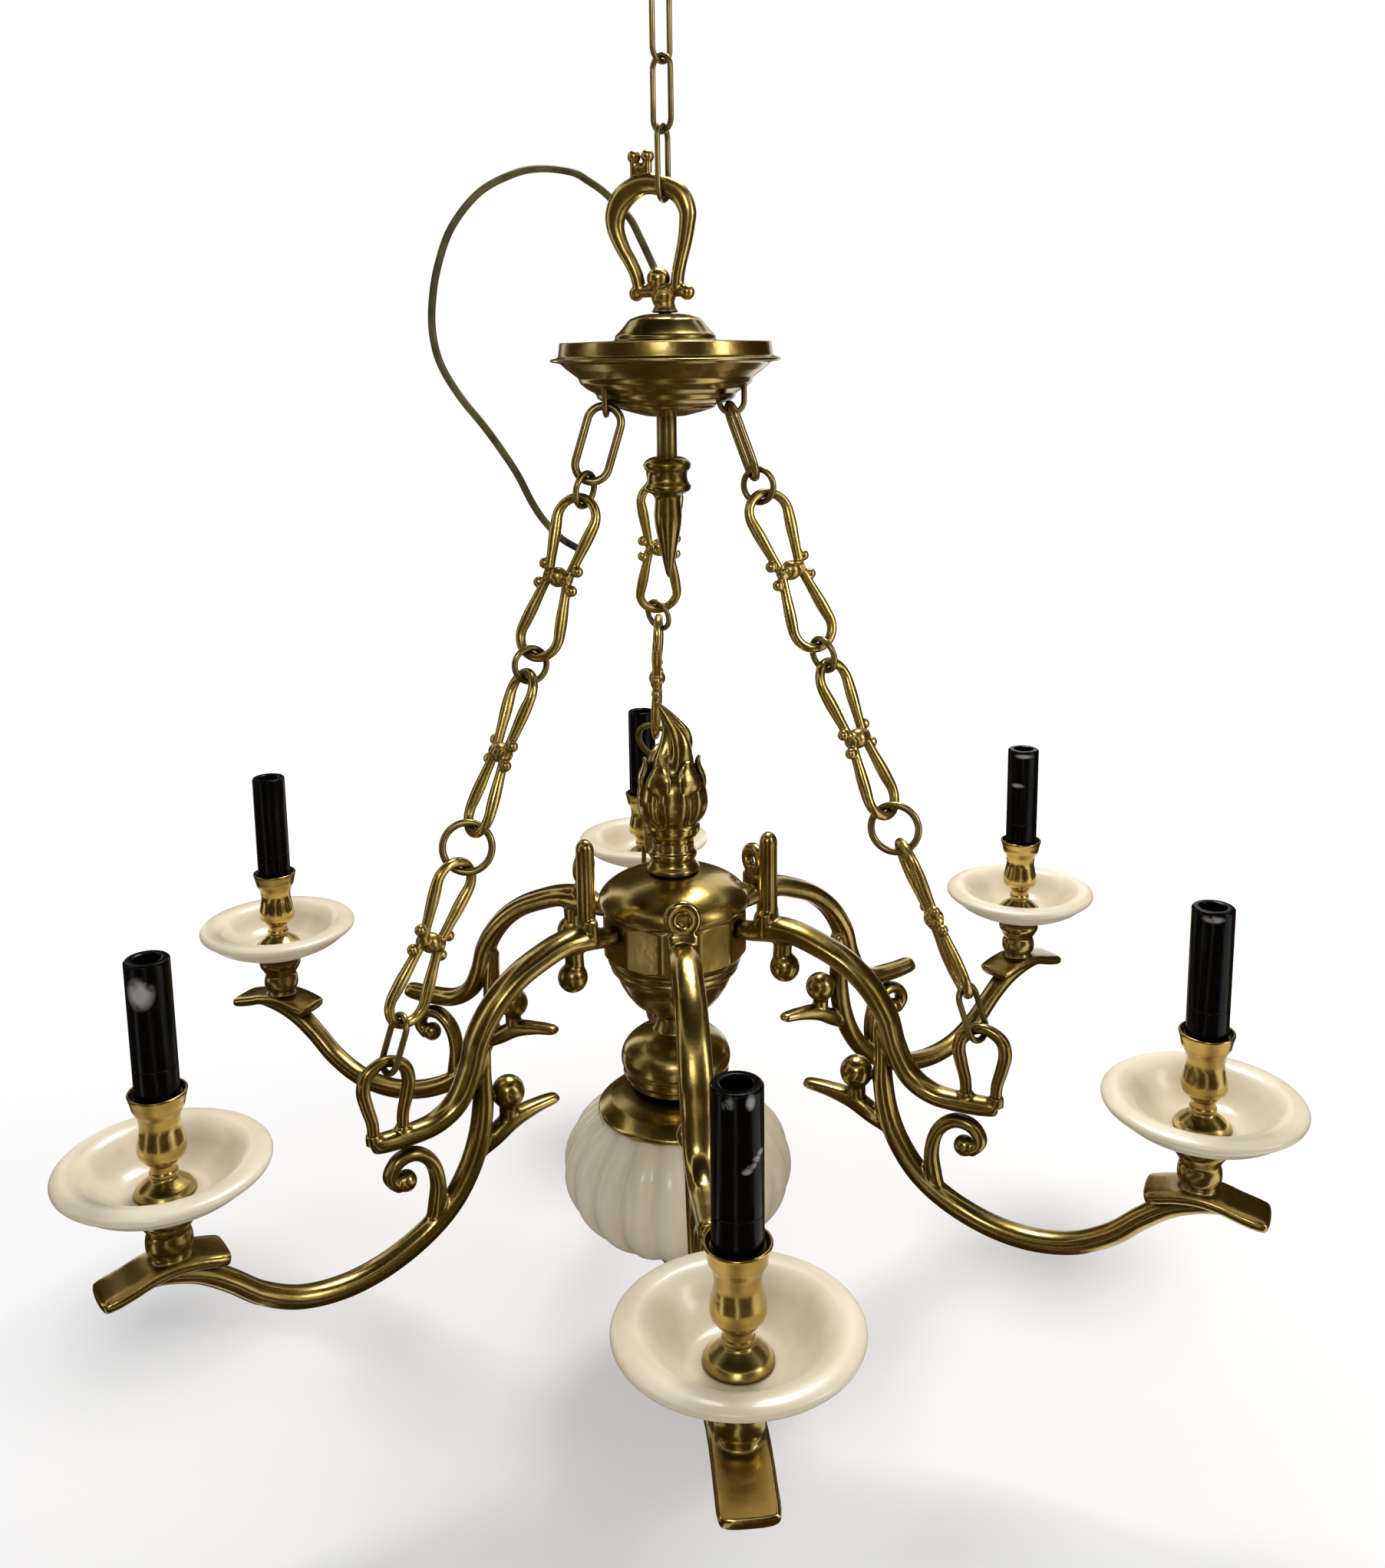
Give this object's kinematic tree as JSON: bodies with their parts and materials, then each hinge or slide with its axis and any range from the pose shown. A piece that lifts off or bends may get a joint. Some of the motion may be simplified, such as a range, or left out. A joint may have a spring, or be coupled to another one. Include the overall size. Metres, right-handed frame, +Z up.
{
  "type": "rococo chandelier",
  "caption": "Hanging rococo chandelier of cast brass with scrolled arms, ceramic drip pans, candle lampholders, a turned column with a fluted ceramic ball, and lyre-link chains from a canopy.",
  "frame": {"origin": "inner top of the uppermost chain link, where the ceiling hook bears", "axes": "+Z up; the front arm points along -Y, the others follow every 60 degrees about Z"},
  "size_m": [0.6926, 0.782, 0.8454],
  "materials": {
    "cast_brass": "polished, aged to olive in the hollows",
    "aged_brass": "worn, darkened",
    "ceramic": "cream satin glaze",
    "bakelite": "black, lightly scuffed",
    "terminal_plastic": "moulded",
    "cord_sheath": "satin, olive gold"
  },
  "bodies": {
    "upper_link": {"ceiling_link_1": "aged_brass"},
    "middle_link": {"ceiling_link_2": "aged_brass"},
    "lower_link": {"ceiling_link_3": "aged_brass"},
    "canopy": {"hanger_lyre": "cast_brass", "canopy_lid": "cast_brass", "canopy_bowl": "cast_brass", "canopy_rod": "aged_brass", "stem_tube": "aged_brass", "stem_drop": "cast_brass", "chain_eyes": "aged_brass", "cord": "cord_sheath"},
    "left_chain": {"left_oval_link": "aged_brass", "left_lyre_links": "cast_brass", "left_rings": "aged_brass"},
    "right_chain": {"right_oval_link": "aged_brass", "right_lyre_links": "cast_brass", "right_rings": "aged_brass"},
    "back_chain": {"back_oval_link": "aged_brass", "back_lyre_links": "cast_brass", "back_rings": "aged_brass"},
    "fixture": {"flame_finial": "cast_brass", "flame_cup": "cast_brass", "neck_rings": "cast_brass", "hub_dome": "cast_brass", "hub_drum": "cast_brass", "hub_bowl": "cast_brass", "vase": "cast_brass", "ball_cap": "cast_brass", "ceramic_ball": "ceramic", "bottom_finial": "cast_brass", "centre_rod": "aged_brass", "terminal_block": "terminal_plastic", "arm_1": "cast_brass", "arm_2": "cast_brass", "arm_3": "cast_brass", "arm_4": "cast_brass", "arm_5": "cast_brass", "arm_6": "cast_brass", "arm_loops": "cast_brass", "arm_screws": "aged_brass", "pan_collars": "cast_brass", "drip_pan_1": "ceramic", "drip_pan_2": "ceramic", "drip_pan_3": "ceramic", "drip_pan_4": "ceramic", "drip_pan_5": "ceramic", "drip_pan_6": "ceramic", "candle_cup_1": "cast_brass", "candle_cup_2": "cast_brass", "candle_cup_3": "cast_brass", "candle_cup_4": "cast_brass", "candle_cup_5": "cast_brass", "candle_cup_6": "cast_brass", "lampholder_1": "bakelite", "lampholder_2": "bakelite", "lampholder_3": "bakelite", "lampholder_4": "bakelite", "lampholder_5": "bakelite", "lampholder_6": "bakelite", "nipples": "aged_brass"}
  },
  "joints": [
    {"name": "middle_link_swing", "type": "hinge", "parent": "upper_link", "child": "middle_link", "pos_m": [0, 0, -0.0419], "axis": [0.7193, 0.6947, 0], "range_deg": [-15, 15]},
    {"name": "lower_link_swing", "type": "hinge", "parent": "middle_link", "child": "lower_link", "pos_m": [0, 0, -0.0818], "axis": [0.6293, -0.7771, 0], "range_deg": [-12, 12]},
    {"name": "canopy_swing", "type": "hinge", "parent": "lower_link", "child": "canopy", "pos_m": [0, 0, -0.1217], "axis": [0.4695, 0.8829, 0], "range_deg": [-15, 15]},
    {"name": "fixture_turn", "type": "hinge", "parent": "canopy", "child": "fixture", "pos_m": [0, 0, -0.3], "axis": [0, 0, 1], "range_deg": [-6, 6], "stiffness_Nm_per_rad": 2.9},
    {"name": "left_chain_swing", "type": "hinge", "parent": "canopy", "child": "left_chain", "pos_m": [-0.0381, -0.022, -0.249], "axis": [-0.866, -0.5, 0], "range_deg": [-3.5, 3.5]},
    {"name": "right_chain_swing", "type": "hinge", "parent": "canopy", "child": "right_chain", "pos_m": [0.0381, -0.022, -0.249], "axis": [0.866, -0.5, 0], "range_deg": [-3.5, 3.5]},
    {"name": "back_chain_swing", "type": "hinge", "parent": "canopy", "child": "back_chain", "pos_m": [0, 0.044, -0.249], "axis": [0, 1, 0], "range_deg": [-3.5, 3.5]}
  ],
  "couplings": [
    {"joint": "left_chain_swing", "follows": "fixture_turn", "ratio": 0.558},
    {"joint": "right_chain_swing", "follows": "fixture_turn", "ratio": 0.558},
    {"joint": "back_chain_swing", "follows": "fixture_turn", "ratio": 0.558}
  ]
}
